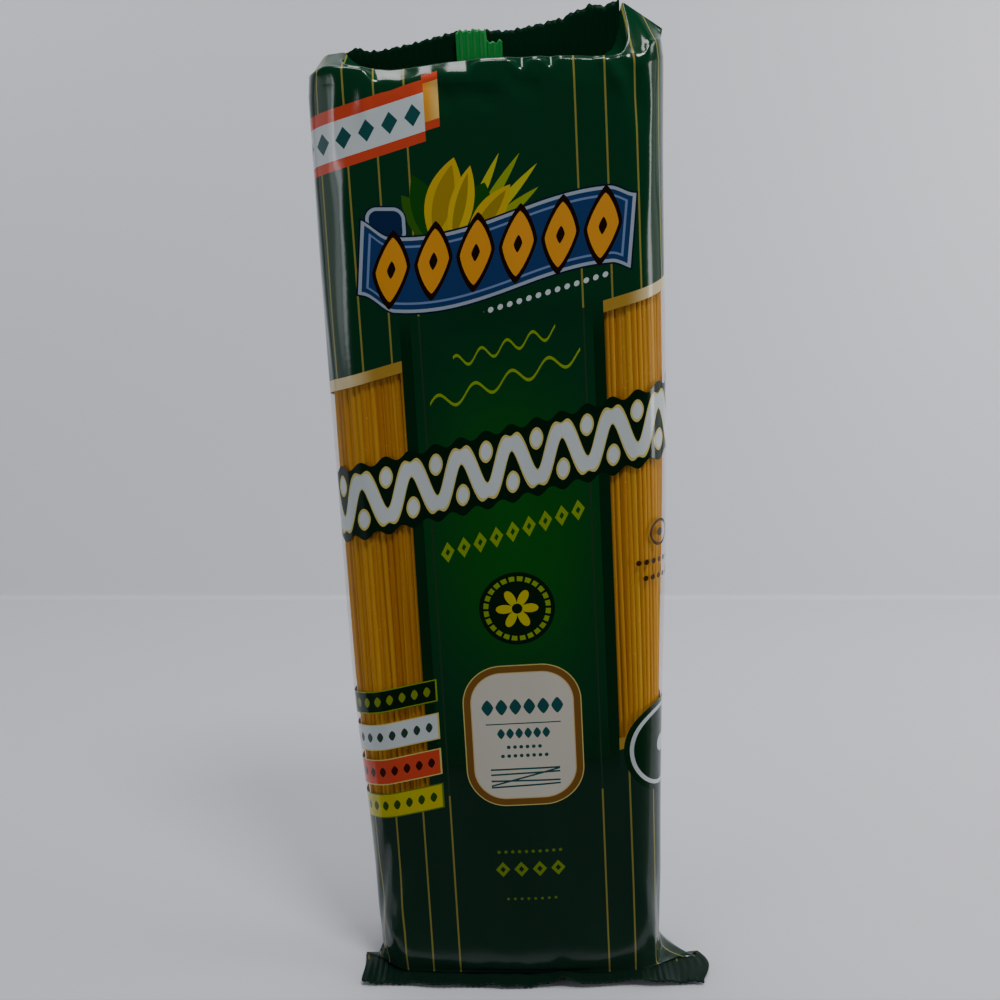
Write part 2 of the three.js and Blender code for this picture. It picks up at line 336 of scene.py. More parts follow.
# Shapes that are printed over the panel and, in part, over the clear film. Each is a mask and a colour
def printShapes(tree, u, v):
    w = printWork
    shapes = []

    # Spray of pointed leaves above the ribbon
    for foot, tilt, long, wide, colour in (
        ((-13, 217), -36, 19, 3.6, "#2f5e12"), ((-13, 216), -20, 23, 4.2, "#164a10"),
        ((-8, 218), 66, 20, 2.6, "#2f5e12"), ((-8, 218), 54, 25, 1.5, "#8a9a1c"),
        ((-8, 218), 44, 29, 1.3, "#b4b030"), ((-9, 218), 35, 29, 1.3, "#8a9a1c"),
        ((-10, 218), 27, 27, 1.2, "#b4b030"), ((-9, 217), 22, 19, 5.2, "#164a10"),
        ((-16.5, 219), 17, 23.5, 4.8, "#c4a420"), ((-16.0, 221), 17, 19.5, 2.6, "#a08412"),
        ((-11.5, 218), 16, 22, 3.2, "#c8aa26"), ((-11.2, 220), 16, 18, 1.4, "#96800e"),
        ((-7.5, 218), 38, 20, 3.6, "#c4a420"), ((-6.8, 219), 38, 17, 1.6, "#96800e"),
    ):
        shapes += [(leaf(u, v, foot, tilt, long, wide) < 0, colour)]

    # Waving ribbon with a pale edge and a curled end, and a row of lozenges as tall as it
    curl = roundBox(u, v, (-28.8, 224.6), (5.7, 5.2), 3.6, -0.05)
    shapes += [(curl < 0, "#0a1a30"), (curl < -0.4, "#9aa6b4"), (curl < -1.3, "#12284c")]
    wave = ((u - 5) * 0.0582).maths("SINE") * 5.4 + u.ramp(-28, -36) * 3.6 - u.ramp(31, 37.5) * 2.0
    middle = v - 216.5 - wave
    ends = abs(u - 0.3 - middle * 0.11)
    for wide, half, colour in ((37.2, 10.6, "#0a1a30"), (36.7, 10.1, "#9aa6b4"), (35.8, 9.2, w["blue"]),
                               (34.6, 7.9, "#6d84ac"), (34.0, 7.3, w["blue"])):
        shapes += [((abs(middle) < half) * (ends < wide), colour)]
    row = v - 217.2 - (u - 0.4) * 0.155
    big = lozenge(u.cell(0.4, 11.4) - row * 0.12, row, 5.2, 10.4, 1.3)
    within = abs(u - 0.4) < 34.2
    for size, colour in ((1.0, "#1c0e06"), (0.76, w["orange"]), (0.14, "#1c0e06")):
        shapes += [((big < size) * within, colour)]

    # Dotted line and two thin waves
    dots = hypot(u.cell(-0.8, 2.6), v - 204.6 - (u - 13) * 0.25)
    shapes += [((dots < 0.75) * u.between(-4, 31), w["white"])]
    wave = v - 190.6 - (u - 1) * 0.26 - (u * 0.9).maths("SINE") * 1.7
    shapes += [((abs(wave) < 0.42) * u.between(-13, 15), w["lime"])]
    wave = v - 181.5 - (u - 1) * 0.29 - (u * 0.62).maths("SINE") * 2.1
    shapes += [((abs(wave) < 0.45) * u.between(-20, 21.5), w["lime"])]

    # Big white wave with beads in its bends, on a dark scalloped band that crosses both windows
    line = v - 157.8 - u * 0.215
    turn = (u + 2.0) * (math.pi / 7.0)
    slope = turn.maths("COSINE") * (5.6 * math.pi / 7.0)
    wave = abs(line - turn.maths("SINE") * 5.6) / (slope * slope + 1) ** 0.5
    high = lozenge(u.cell(-12.5, 14), line - 5.2, 1.55, 2.5, 1.8)
    low = lozenge(u.cell(-5.5, 14), line + 5.2, 1.55, 2.5, 1.8)
    drop = high.maths("MINIMUM", low) ** 0.55
    span = abs(u - 1) < 52
    shapes += [((abs(line) < (turn * 2).maths("COSINE") * -0.9 + 10.2) * span, "#03200f")]
    for stroke, swell, colour in ((2.2, 1.25, w["cream"]), (1.75, 0.95, w["white"])):
        shapes += [((wave < stroke).maths("MAXIMUM", drop < swell) * span, colour)]

    # Row of small yellow diamonds
    diamond = lozenge(u.cell(-20, 4.6), v - 138.8 - (u - 1) * 0.28, 1.9, 3.0)
    shapes += [((diamond < 1) * (diamond > 0.35) * u.between(-20, 21.4), w["lime"])]

    # Round badge with a dotted ring and a rosette
    ring = hypot(u - 0.8, v - 116.2)
    turn = (v - 116.2).maths("ARCTAN2", u - 0.8)
    petals = abs((turn * 3).maths("COSINE")) * 4.4 + 1.6
    beads = (abs((turn * 12).maths("SINE")) > 0.45) * ring.between(8.1, 9.5)
    shapes += [(ring < 10.7, "#04200f"), (beads, w["lime"])]
    shapes += [(ring < petals, w["yellow"]), (ring < 1.5, "#04200f")]

    # White label with a brown edge, rules, diamonds and crossed sticks
    label = roundBox(u, v, (0.8, 77.8), (17, 21.6), 11.5)
    shapes += [(label < 0, w["cream"]), (label < -0.3, w["brown"]), (label < -2.2, "#c9b27a")]
    shapes += [(label < -2.5, w["labelWhite"])]
    inLabel = abs(u - 0.8)
    shapes += [((abs(v - 81.6) < 0.17) * (inLabel < 10.8), w["teal"])]
    for height, tall, wide, pitch, reach in ((86.7, 2.4, 1.7, 4.0, 11.9), (78.6, 1.6, 1.1, 2.6, 7.8)):
        diamond = lozenge(u.cell(0.8, pitch), v - height, wide, tall, 1.3)
        shapes += [((diamond < 1) * (inLabel < reach), w["teal"])]
    for height, reach in ((74.4, 5.4), (71.7, 7.1)):
        pips = hypot(u.cell(0.8, 1.8), v - height)
        shapes += [((pips < 0.55) * (inLabel < reach), w["teal"])]
    for tilt, height in ((0.0, 67.6), (0.02, 66.2), (0.24, 65.0), (-0.02, 63.9), (0.03, 62.4)):
        stick = abs(v - height - (u - 0.8) * tilt)
        shapes += [((stick < 0.26) * (inLabel < 10), w["teal"])]

    # Two small rows of dots under the label, and a row of hollow diamonds
    for height, size, reach in ((41.6, 0.5, 9.7), (26.4, 0.42, 7.6)):
        pips = hypot(u.cell(0.8, 2.0), v - height)
        shapes += [((pips < size) * (inLabel < reach), "#5c7a1e")]
    diamond = lozenge(u.cell(0.8, 5.4), v - 36.0, 2.1, 2.4)
    shapes += [(diamond.between(0.4, 1.0) * (inLabel < 10.8), "#718a18")]

    # Small dark ring and two rows of dots on the right window
    ring = hypot(u - 43.2, v - 135.2)
    shapes += [(ring.between(3.1, 3.9), "#3a2406"), (ring < 1.2, "#3a2406")]
    for height, start in ((127.2, 34.4), (122.5, 36.4)):
        pips = hypot(u.cell(start, 2.4), v - height)
        shapes += [((pips < 0.8) * u.between(start, start + 16.8), "#3a2406")]

    # Slanted label at the top left, with a tab behind its end
    line = v - 253.6 - (u + 16.7) * 0.262
    shapes += [(u.between(-17, -12.8) * line.between(-5.0, 9.6), w["red"])]
    tab = paint(linear(w["orange"]), u.ramp(-16.4, -12.8), "#e2b866")
    shapes += [(u.between(-17, -12.8) * line.between(-2.8, 7.2), tab)]
    shapes += [(u.between(-58, -16.7) * line.between(-7.6, 8.2), w["red"])]
    shapes += [(u.between(-57, -16.7) * line.between(-5.0, 4.9), w["white"])]
    diamond = lozenge(u.cell(-16.7, 6.2), line, 2.2, 2.9)
    shapes += [((diamond < 1) * u.between(-56, -17.5), w["teal"])]

    # Four flags over the left window's foot
    flags = (
        (92.9, 3.0, "#04200f", w["lime"], "#7a8a1c"),
        (82.0, 3.7, w["white"], w["cream"], "#2a4034"),
        (71.1, 3.7, w["red"], w["cream"], "#38100a"),
        (60.4, 3.5, w["yellow"], "#5c7a1e", "#2a4a10"),
    )
    for height, half, colour, edge, mark in flags:
        line = v - height - (u + 23.4) * 0.19
        shapes += [(u.between(-60, -23.2) * (abs(line) < half + 0.35), edge)]
        shapes += [(u.between(-60, -23.7) * (abs(line) < half), colour)]
        pip = lozenge(u.cell(-24.4, 3.6), line, 1.0, 1.5, 1.5)
        shapes += [((pip < 1) * u.between(-58, -24.4), mark)]

    # Plain disc with a pale ring at the right window's foot
    disc = hypot(u - 43.6, v - 70.7)
    shapes += [(disc < 14.2, w["deepGreen"]), (disc.between(11.3, 12.5), w["white"])]
    shapes += [(disc < 2.6, w["white"])]
    return shapes


filmFinish = {
    "roughness": 0.16,
    "ior": 1.46,
    "shade": 0.0,
    "rippleScale": 70.0,  # ripples about 14 mm apart
    "creaseScale": 420.0,  # fine puckers about 2.5 mm apart
    "rippleDeep": 0.00022,
    "creaseDeep": 0.00005,
}
# The fins' colour is mixed halfway to near black: painted shade
sealedFinishWithPaintedShade = {"roughness": 0.34, "ior": 1.13, "shade": 0.5}


def filmBump(tree):
    place = addNode(tree, "TexCoord").outputs["Object"]
    long = addNode(tree, "Mapping", {0: place, 3: (1.0, 1.0, 0.35)}).outputs[0]
    ripple = addNode(tree, "TexNoise", {"Vector": long, "Scale": filmFinish["rippleScale"], "Detail": 1.0})
    crease = addNode(tree, "TexNoise", {"Vector": place, "Scale": filmFinish["creaseScale"], "Detail": 2.0})
    first = addNode(tree, "Bump", {
        "Height": ripple.outputs[0], "Distance": filmFinish["rippleDeep"], "Strength": 0.6,
    })
    second = addNode(tree, "Bump", {
        "Height": crease.outputs[0], "Distance": filmFinish["creaseDeep"], "Strength": 0.5,
        "Normal": first.outputs[0],
    })
    return second.outputs[0]


def newMaterial(name):
    material = bpy.data.materials.new(name)
    material.use_nodes = True
    tree = material.node_tree
    tree.nodes.clear()
    return material, tree, addNode(tree, "OutputMaterial")


# Printed polypropylene film, reverse printed and glossy: deep colour under a clear shine.
# Where the jaws have sealed two layers together it is duller, and its colour is painted darker towards near
# black: painted shade
def printedFilmMaterial(name, finish):
    material, tree, output = newMaterial(name)
    u, v = printFields(tree)
    colour = printGround(tree, u, v)
    for mask, ink in printShapes(tree, u, v):
        colour = paint(colour, mask, ink)
    # shade mixes the print towards near black: painted shade on the fins
    paintedShadeColour = linear("#02100a")
    colour = addNode(tree, "Mix", {0: finish["shade"], 6: colour, 7: paintedShadeColour}, data_type="RGBA").outputs[2]
    shader = addNode(tree, "BsdfPrincipled", {
        "Base Color": colour, "Roughness": finish["roughness"], "IOR": finish["ior"],
        "Normal": filmBump(tree),
    })
    tree.links.new(shader.outputs[0], output.inputs[0])
    return material


# The same film left clear: the pasta shows through, with the film's shine and a weak haze. The haze is
# tinted amber and thickens round the corners: painted light that lifts the dark gaps between strands and
# brightens the windows' edges
def clearFilmMaterial():
    material, tree, output = newMaterial("clearPolypropyleneFilm")
    u, v = printFields(tree)
    clear = windowMask(u, v)
    colour = printGround(tree, u, v)
    solid = clear.flip()
    for mask, ink in printShapes(tree, u, v):
        colour = paint(colour, mask, ink)
        solid = solid.maths("MAXIMUM", mask)
    bump = filmBump(tree)
    inked = addNode(tree, "BsdfPrincipled", {
        "Base Color": colour, "Roughness": filmFinish["roughness"], "IOR": filmFinish["ior"], "Normal": bump,
    })
    # Amber haze, denser round the corners: painted light over the strands
    paintedLightHaze = abs(u).ramp(37, 46) * 0.08 + 0.1
    bare = addNode(tree, "BsdfPrincipled", {
        "Base Color": linear("#b07c28"), "Roughness": filmFinish["roughness"], "IOR": 1.4,
        "Alpha": paintedLightHaze, "Normal": bump,
    })
    shader = addNode(tree, "MixShader", {0: solid, 1: bare.outputs[0], 2: inked.outputs[0]})
    tree.links.new(shader.outputs[0], output.inputs[0])
    return material


# The film's lap and seams: unprinted green film, ribbed by the sealing jaws
def seamFilmMaterial():
    material, tree, output = newMaterial("ribbedGreenFilm")
    shader = addNode(tree, "BsdfPrincipled", {
        "Base Color": linear("#04802e"), "Roughness": 0.42, "IOR": 1.35, "Normal": filmBump(tree),
    })
    tree.links.new(shader.outputs[0], output.inputs[0])
    return material


# Dry durum pasta, extruded: waxy amber, each strand a little different, pale specks of flour
def pastaMaterial():
    material, tree, output = newMaterial("driedPasta")
    tint = addNode(tree, "Attribute", attribute_name="strandTint").outputs["Fac"]
    place = addNode(tree, "TexCoord").outputs["Object"]
    stretched = addNode(tree, "Mapping", {0: place, 3: (1.0, 1.0, 0.03)}).outputs[0]
    streak = addNode(tree, "TexNoise", {"Vector": stretched, "Scale": 900.0, "Detail": 2.0}).outputs[0]
    flour = addNode(tree, "TexNoise", {"Vector": place, "Scale": 1500.0, "Detail": 0.0}).outputs[0]
    shade = Field(tree, tint) * 0.75 + Field(tree, streak) * 0.35
    ramp = addNode(tree, "ValToRGB", {0: shade})
    ramp.color_ramp.elements[0].position = 0.1
    ramp.color_ramp.elements[0].color = linear("#a86406")
    ramp.color_ramp.elements[1].position = 0.95
    ramp.color_ramp.elements[1].color = linear("#dca428")
    colour = paint(ramp.outputs[0], (Field(tree, flour) > 0.8) * 0.5, "#e0b868")
    shader = addNode(tree, "BsdfPrincipled", {
        "Base Color": colour, "Roughness": 0.6, "IOR": 1.36,
        "Subsurface Weight": 0.2, "Subsurface Scale": 0.001, "Subsurface Radius": (1.0, 0.5, 0.1),
    })
    tree.links.new(shader.outputs[0], output.inputs[0])
    return material


# Deep inside the bundle: pasta in its own shadow
def coreMaterial():
    material, tree, output = newMaterial("shadedPasta")
    place = addNode(tree, "TexCoord").outputs["Object"]
    stretched = addNode(tree, "Mapping", {0: place, 3: (1.0, 1.0, 0.02)}).outputs[0]
    streak = addNode(tree, "TexNoise", {"Vector": stretched, "Scale": 700.0}).outputs[0]
    colour = paint(linear("#a05804"), Field(tree, streak), "#be7808")
    shader = addNode(tree, "BsdfPrincipled", {"Base Color": colour, "Roughness": 0.6})
    tree.links.new(shader.outputs[0], output.inputs[0])
    return material


materials = {
    "film": printedFilmMaterial("printedPolypropyleneFilm", filmFinish),
    "sealed": printedFilmMaterial("heatSealedFilmInPaintedShade", sealedFinishWithPaintedShade),
    "clear": clearFilmMaterial(),
    "seam": seamFilmMaterial(),
    "pasta": pastaMaterial(),
    "core": coreMaterial(),
}
print("materials made")


# A flat sheet of film: columns across and rows along it, with its flat place kept as a UV map.
# place(column share, row share) gives the point in millimetres and the flat place
def filmSheet(name, columns, rows, place, relief=None):
    bpy.ops.object.select_all(action="DESELECT")
    bpy.ops.mesh.primitive_grid_add(x_subdivisions=columns, y_subdivisions=rows, size=2)
    sheet = bpy.context.object
    sheet.name = name
    mesh = sheet.data
    mesh.name = name
    wide, tall = columns + 1, rows + 1
    points = np.zeros((tall, wide, 3))
    flats = np.zeros((tall, wide, 2))
    for row in range(tall):
        for column in range(wide):
            point, flat = place(column / columns, row / rows)
            points[row, column] = point
            flats[row, column] = flat
    if relief:
        du = np.gradient(points, axis=1)
        dv = np.gradient(points, axis=0)
        normal = np.cross(du, dv)
        normal /= np.linalg.norm(normal, axis=2, keepdims=True) + 1e-9
        lift = np.array([[relief(*flats[row, column]) for column in range(wide)] for row in range(tall)])
        points += normal * lift[..., None]
    grid = np.zeros(len(mesh.vertices) * 3)
    mesh.vertices.foreach_get("co", grid)
    grid = grid.reshape(-1, 3)
    column = np.rint((grid[:, 0] + 1) / 2 * columns).astype(int)
    row = np.rint((grid[:, 1] + 1) / 2 * rows).astype(int)
    mesh.vertices.foreach_set("co", (points[row, column] * mm).ravel())
    layer = mesh.uv_layers.active or mesh.uv_layers.new()
    layer.name = "filmFlat"
    corner = np.zeros(len(mesh.loops), int)
    mesh.loops.foreach_get("vertex_index", corner)
    uv = (flats[row, column][corner] - [flatMap["left"], flatMap["foot"]]) / flatMap["span"]
    layer.data.foreach_set("uv", uv.ravel())
    mesh.update()
    bpy.ops.object.shade_smooth()
    return sheet


def setMaterial(piece, material):
    piece.data.materials.clear()
    piece.data.materials.append(material)


def pickOnly(piece):
    bpy.ops.object.select_all(action="DESELECT")
    piece.select_set(True)
    bpy.context.view_layer.objects.active = piece


def applyModifier(piece, kind, **settings):
    pickOnly(piece)
    modifier = piece.modifiers.new(kind.title(), kind)
    for name, value in settings.items():
        setattr(modifier, name, value)
    bpy.ops.object.modifier_apply(modifier=modifier.name)


# A seal is the same sheet with its real thickness
def finishSeal(sheet, thick, material):
    applyModifier(sheet, "SOLIDIFY", thickness=thick * mm, offset=0.0)
    setMaterial(sheet, material)
    return sheet


# The wrapper: from its root under the pack, up the body, over the top fold and down into the valley
wrapper = {
    "columns": 240,
    "quarter": 54.5,  # half of the flat width: the middle of a narrow side
    "finColumns": 38.0,  # film this far from the middle goes into the top fin, the rest makes the hips
    "finLeft": -37.0,
    "finRight": 36.0,
    "sideTopLeft": 268.8,
    "sideDropLeft": 5.2,
    "sideTopRight": 271.4,
    "valley": 261.5,
    "earLeft": 3.5,
    "earRight": 12.5,
    "earRootY": -8.0,
    "ankle": 5.0,
    "floorRootY": -3.0,
    "floorHalfLeft": 51.1,
    "floorHalfRight": 50.5,
    "hipLeft": 8.0,
    "hipFront": 4.0,
    "hipRight": 17.0,
    "footRoll": 22.0,  # film from the root under the pack up to the hips
    "footShare": 0.8,  # the part of the foot's curve below the hips
    "settle": 14.0,  # the foot's form fades into the body over this much above the hips
}
footRows, bodyRows, topRows = 26, 120, 40


# Height along the front's top fold, and along the fin's cut edge
foldPlaces = (
    (-48.2, 263.0), (-46.8, 265.6), (-44.5, 267.4), (-42.5, 267.8), (-40.3, 267.3), (-34, 266.1),
    (-28, 264.8), (-22, 264.5), (-17, 265.3),
    (-8, 266.0), (-1.4, 266.3), (11.6, 266.1), (22.8, 265.8), (30.6, 265.0), (34, 264.8), (37.6, 266.9),
    (44.2, 269.2), (47.5, 270.0),
)
finPlaces = (
    (-37.4, 269.7), (-35, 270.5), (-33.3, 271.1), (-32.3, 270.0), (-28.2, 269.8), (-19.4, 271.2),
    (-14.2, 272.3), (-8.1, 273.6), (0, 273.7), (6, 273.2), (13, 274.1), (20.3, 275.3), (23.6, 276.6),
    (28.1, 278.3), (31, 278.2), (33, 278.1), (36, 279.4),
)


def heightAt(places, across):
    return float(np.interp(across, *zip(*places)))


# The film is too stiff for a kink, so the fold's line is rounded over 7 mm
def foldLine(across):
    return sum(heightAt(foldPlaces, across + step) for step in (-3.5, -1.75, 0, 1.75, 3.5)) / 5


# Which layer a column is in, which side, and how far it is from the middle of its layer
def layerOf(u):
    side = 1 if u >= 0 else -1
    if abs(u) <= wrapper["quarter"]:
        return 1, side, abs(u)
    return -1, side, pack["halfGirth"] - abs(u)


def finEnd(side):
    return wrapper["finRight"] if side > 0 else wrapper["finLeft"]


def finHeight(across):
    return heightAt(finPlaces, across)


# Section of the front's top fold, as drop and inset: sharp, and broad where it rolls and catches the light
sharpFold = ((6.0, 0.0), (1.4, 0.5), (0.45, 1.2), (0.0, 2.4), (1.4, 5.2))
broadFold = ((6.0, 0.0), (3.3, 0.4), (1.1, 2.5), (0.1, 3.9), (0.9, 5.8))
broadSpans = ((-31, -3), (7.5, 11), (15.5, 18), (37, 43))
spanEnd = 1.6  # half of the way over which the fold changes


def foldSection(u):
    broad = 0
    for start, end in broadSpans:
        broad += smooth(u, start - spanEnd, start + spanEnd) * (1 - smooth(u, end - spanEnd, end + spanEnd))
    broad *= 0.93 + 0.07 * math.sin(u * 0.8)
    if layerOf(u)[0] < 0:
        broad = 0
    return [(mix(a[0], b[0], broad), mix(a[1], b[1], broad)) for a, b in zip(sharpFold, broadFold)]


def topStations(u):
    layer, side, half = layerOf(u)
    middle = midDepth(pack["fold"])
    stations = []
    for drop, inset in foldSection(u):
        across, deep = sectionPlace(pack["fold"], u, inset)
        stations.append(stand(across, deep, foldLine(across) - drop))
    finShare = clamp(half / wrapper["finColumns"])
    rootAcross = finEnd(side) * finShare
    rise = 7.0 * finShare ** 4
    stations.append(stand(rootAcross, middle - layer * 0.9, wrapper["valley"] + rise))
    hipShare = clamp((half - wrapper["finColumns"]) / (wrapper["quarter"] - wrapper["finColumns"]))
    edge = rightEdge(pack["fold"]) if side > 0 else leftEdge(pack["fold"])
    sideTop = wrapper["sideTopRight"] if side > 0 else wrapper["sideTopLeft"]
    ridgeAcross = mix(finEnd(side), edge, hipShare)
    ridgeHigh = mix(finHeight(finEnd(side)), sideTop, hipShare)
    if side < 0:
        ridgeHigh -= wrapper["sideDropLeft"] * smooth(hipShare, 0.45, 1.0)
    ridge = stand(ridgeAcross, middle - layer * 0.15, ridgeHigh)
    blend = smooth(half, wrapper["finColumns"] - 2.5, wrapper["finColumns"] + 1.5)
    for at, share in ((2, 0.2), (3, 0.45), (4, 0.72), (5, 1.0)):
        hip = stations[1].lerp(ridge, share)
        stations[at] = stations[at].lerp(hip, blend)
    return stations


def footStations(u):
    layer, side, half = layerOf(u)
    across, deep = sectionPlace(wrapper["hipFront"], u)
    share = clamp((abs(across) - 8) / 30) ** 2
    hipHigh = mix(wrapper["hipFront"], wrapper["hipRight"] if side > 0 else wrapper["hipLeft"], share)
    hip = standAt(across, deep, hipHigh)
    halfDepth = (backFace(0) - pack["frontFace"]) / 2
    reach = wrapper["earRight"] if side > 0 else -wrapper["earLeft"]
    across, deep = sectionPlace(0, u, 0.8)
    beside = abs(across) > pack["rightFoot"] - pack["corner"]
    centred = (1 - clamp(abs(deep - midDepth(0)) / halfDepth)) * beside
    ankle = standAt(across + reach * 0.12 * centred, deep, mix(2.2, wrapper["ankle"], centred))
    flare = centred ** 1.4
    across, deep = sectionPlace(0, u, 1.5)
    edge = standAt(across + reach * flare, mix(deep, wrapper["earRootY"], flare * 0.8), 1.3)
    reach = wrapper["floorHalfRight"] if side > 0 else -wrapper["floorHalfLeft"]
    low = 1.5 if layer > 0 else 0.35
    rootX = pack["footX"] + reach * half / wrapper["quarter"]
    root = Vector((rootX, wrapper["floorRootY"] + pack["shiftY"], low))
    under = edge.lerp(root, 0.55)
    under.z = low
    return [root, under, edge, ankle, hip], hipHigh


def curveThrough(stations, share):
    spans = len(stations) - 1
    at = min(int(share * spans), spans - 1)
    t = share * spans - at
    before = stations[max(at - 1, 0)]
    start, end = stations[at], stations[at + 1]
    after = stations[min(at + 2, spans)]
    return 0.5 * (
        2 * start + (end - before) * t + (2 * before - 5 * start + 4 * end - after) * t ** 2
        + (3 * start - before - 3 * end + after) * t ** 3
    )


columnCache = {}


def wrapperPlace(columnShare, rowShare):
    u = mix(-pack["halfGirth"], pack["halfGirth"], columnShare)
    if u not in columnCache:
        foot, hipHigh = footStations(u)
        top = topStations(u)
        lengths = np.cumsum([0] + [(after - before).length for before, after in zip(top, top[1:])])
        columnCache[u] = (foot, hipHigh, top, lengths)
    foot, hipHigh, top, lengths = columnCache[u]
    row = rowShare * (footRows + bodyRows + topRows)
    across, _ = sectionPlace(pack["fold"], u)
    bodyTop = foldLine(across) - sharpFold[0][0]
    if row < footRows:
        share = row / footRows
        v = mix(hipHigh - wrapper["footRoll"], hipHigh, share)
        return curveThrough(foot + [bodyPlace(u, hipHigh + 6)], share * wrapper["footShare"]), (u, v)
    if row <= footRows + bodyRows:
        v = mix(hipHigh, bodyTop, (row - footRows) / bodyRows)
        point = bodyPlace(u, v)
        settle = 1 - smooth(v, hipHigh, hipHigh + wrapper["settle"])
        if settle > 0:
            point += (foot[4] - bodyPlace(u, hipHigh)) * settle
        return point, (u, v)
    share = (row - footRows - bodyRows) / topRows
    beyond = float(np.interp(share * (len(top) - 1), range(len(top)), lengths))
    return curveThrough(top, share), (u, bodyTop + beyond)


def bodyPlace(u, high):
    across, deep = sectionPlace(high, u)
    return stand(across, deep, high)


# Folds and dents: where each starts and ends on the flat film, how wide and how deep
creases = (
    ((-44, 2), (-35, 34), 2.2, 0.9),
    ((-50, 8), (-41, 46), 2.0, -0.7),
    ((-38, 3), (-43, 22), 1.8, 0.7),
    ((38, 8), (33, 30), 2.2, 0.6),
    ((44, 4), (41, 26), 2.0, -0.6),
    ((-36, 262), (-41, 236), 2.4, -0.35),
    ((-31, 264), (-33, 252), 2.0, 0.5),
    ((-16, 262), (-9, 255), 2.6, -0.8),
    ((-8, 258), (3, 256), 2.2, -0.7),
    ((6, 261), (14, 257), 2.4, -0.4),
    ((30, 266), (36, 257), 1.8, 0.7),
    ((36, 267), (40, 250), 2.2, -0.7),
    ((44, 262), (42, 225), 2.6, 0.6),
    ((-48, 250), (-46, 190), 3.0, 0.5),
    ((-52, 205), (-47, 150), 2.5, -0.4),
)


def creaseHeight(u, v):
    total = 0.0
    for start, end, wide, deep in creases:
        along = (end[0] - start[0], end[1] - start[1])
        length = math.hypot(*along)
        t = ((u - start[0]) * along[0] + (v - start[1]) * along[1]) / length ** 2
        if not -0.3 < t < 1.3:
            continue
        off = abs((u - start[0]) * along[1] - (v - start[1]) * along[0]) / length
        if off > 3 * wide:
            continue
        fade = smooth(t, -0.3, 0.3) * (1 - smooth(t, 0.7, 1.3))
        total += deep * fade * math.exp(-(off / wide) ** 2)
    return total


def wrapperRelief(u, v):
    wave = 0.22 * math.sin(u / 6.5 + 0.9 * math.sin(v / 31)) * math.sin(v / 27 + u / 19)
    wave += 0.12 * math.sin(u / 3.1 + v / 45) * math.sin(v / 17 - u / 11)
    foot = smooth(v, 3, 18)
    near = smooth(v, 248, 262) * (1 - smooth(v, 266, 271)) * (1 - smooth(abs(u), 44, 52))
    dents = 0.05 * math.sin(u * 0.93 + 1.3 * math.sin(v / 4.7)) * math.sin(v * 0.55 + u * 0.4)
    folds = creaseHeight(u, v) * (1 - smooth(v, 263, 270))
    return wave * foot * (1 - smooth(v, 258, 266)) + folds * foot + dents * near


def makeWrapper():
    columnCache.clear()
    film = filmSheet(
        "printedFilm", wrapper["columns"], footRows + bodyRows + topRows, wrapperPlace, wrapperRelief
    )
    bpy.context.view_layer.objects.active = film
    bpy.ops.object.mode_set(mode="EDIT")
    bpy.ops.mesh.select_all(action="SELECT")
    bpy.ops.mesh.remove_doubles(threshold=0.00001)
    bpy.ops.mesh.select_all(action="DESELECT")
    bpy.ops.object.mode_set(mode="OBJECT")
    layer = film.data.uv_layers["filmFlat"].data
    w = printWork
    for face in film.data.polygons:
        places = [flatPlace(*layer[at].uv) for at in face.loop_indices]
        u, v = [sum(part) / len(places) for part in zip(*places)]
        level = v - w["slant"] * u
        beside = u < w["windowLeft"] + 1.2 or u > w["windowRight"] - 1.2
        within = w["windowFoot"] - 2 < level < w["windowTop"] + 2
        face.select = beside and abs(u) < w["windowEnd"] + 1.5 and within
    bpy.ops.object.mode_set(mode="EDIT")
    bpy.ops.mesh.select_mode(type="FACE")
    bpy.ops.mesh.separate(type="SELECTED")
    bpy.ops.object.mode_set(mode="OBJECT")
    windows = next(o for o in bpy.context.selected_objects if o != film)
    windows.name = "clearWindows"
    windows.data.name = "clearWindows"
    setMaterial(film, materials["film"])
    setMaterial(windows, materials["clear"])
    return film, windows


film, windows = makeWrapper()
print("wrapper made", len(film.data.polygons), len(windows.data.polygons))

# The standing fin: two layers pressed together, ribbed, with a sawn edge
topSeal = {
    "columns": 260,
    "rows": 12,
    "root": 259.5,
    "ribPitch": 1.9,
    "ribDeep": 0.09,
    "toothPitch": 1.6,
    "toothDeep": 0.35,
    "thick": 0.3,
}


def topSealPlace(columnShare, rowShare):
    across = mix(wrapper["finLeft"], wrapper["finRight"], columnShare)
    tooth = abs((across / topSeal["toothPitch"]) % 1 * 2 - 1) * topSeal["toothDeep"]
    ragged = 0.5 * abs(math.sin(across * 0.6)) * smooth(across, 5, 25) + 0.2 * math.sin(across * 2.3)
    top = finHeight(across) - tooth + ragged
    high = mix(topSeal["root"], top, rowShare)
    rib = topSeal["ribDeep"] * math.sin(2 * math.pi * across / topSeal["ribPitch"])
    rib *= smooth(rowShare, 0.1, 0.3)
    sway = 0.9 * math.sin(across / 13 + 0.6) * rowShare * math.sin(math.pi * columnShare)
    deep = midDepth(pack["fold"]) + rib + sway
    return stand(across, deep, high), (across, 290)


def makeTopSeal():
    seal = filmSheet("topSeal", topSeal["columns"], topSeal["rows"], topSealPlace)
    return finishSeal(seal, topSeal["thick"], materials["sealed"])


# The foot fin: folded forward onto the floor, its ears past both sides, its edge wavy
floorSeal = {
    "columns": 360,
    "rows": 26,
    "frontY": -20.4,
    "bow": 1.6,
    "ribPitch": 1.9,
    "ribDeep": 0.08,
    "toothPitch": 1.7,
    "toothDeep": 0.45,
    "thick": 0.35,
}
floorWaves = ((9.0, 5.5, 2.6), (31.0, 11.0, 1.8), (-30.0, 9.0, 0.9), (-10.0, 6.0, 0.7))


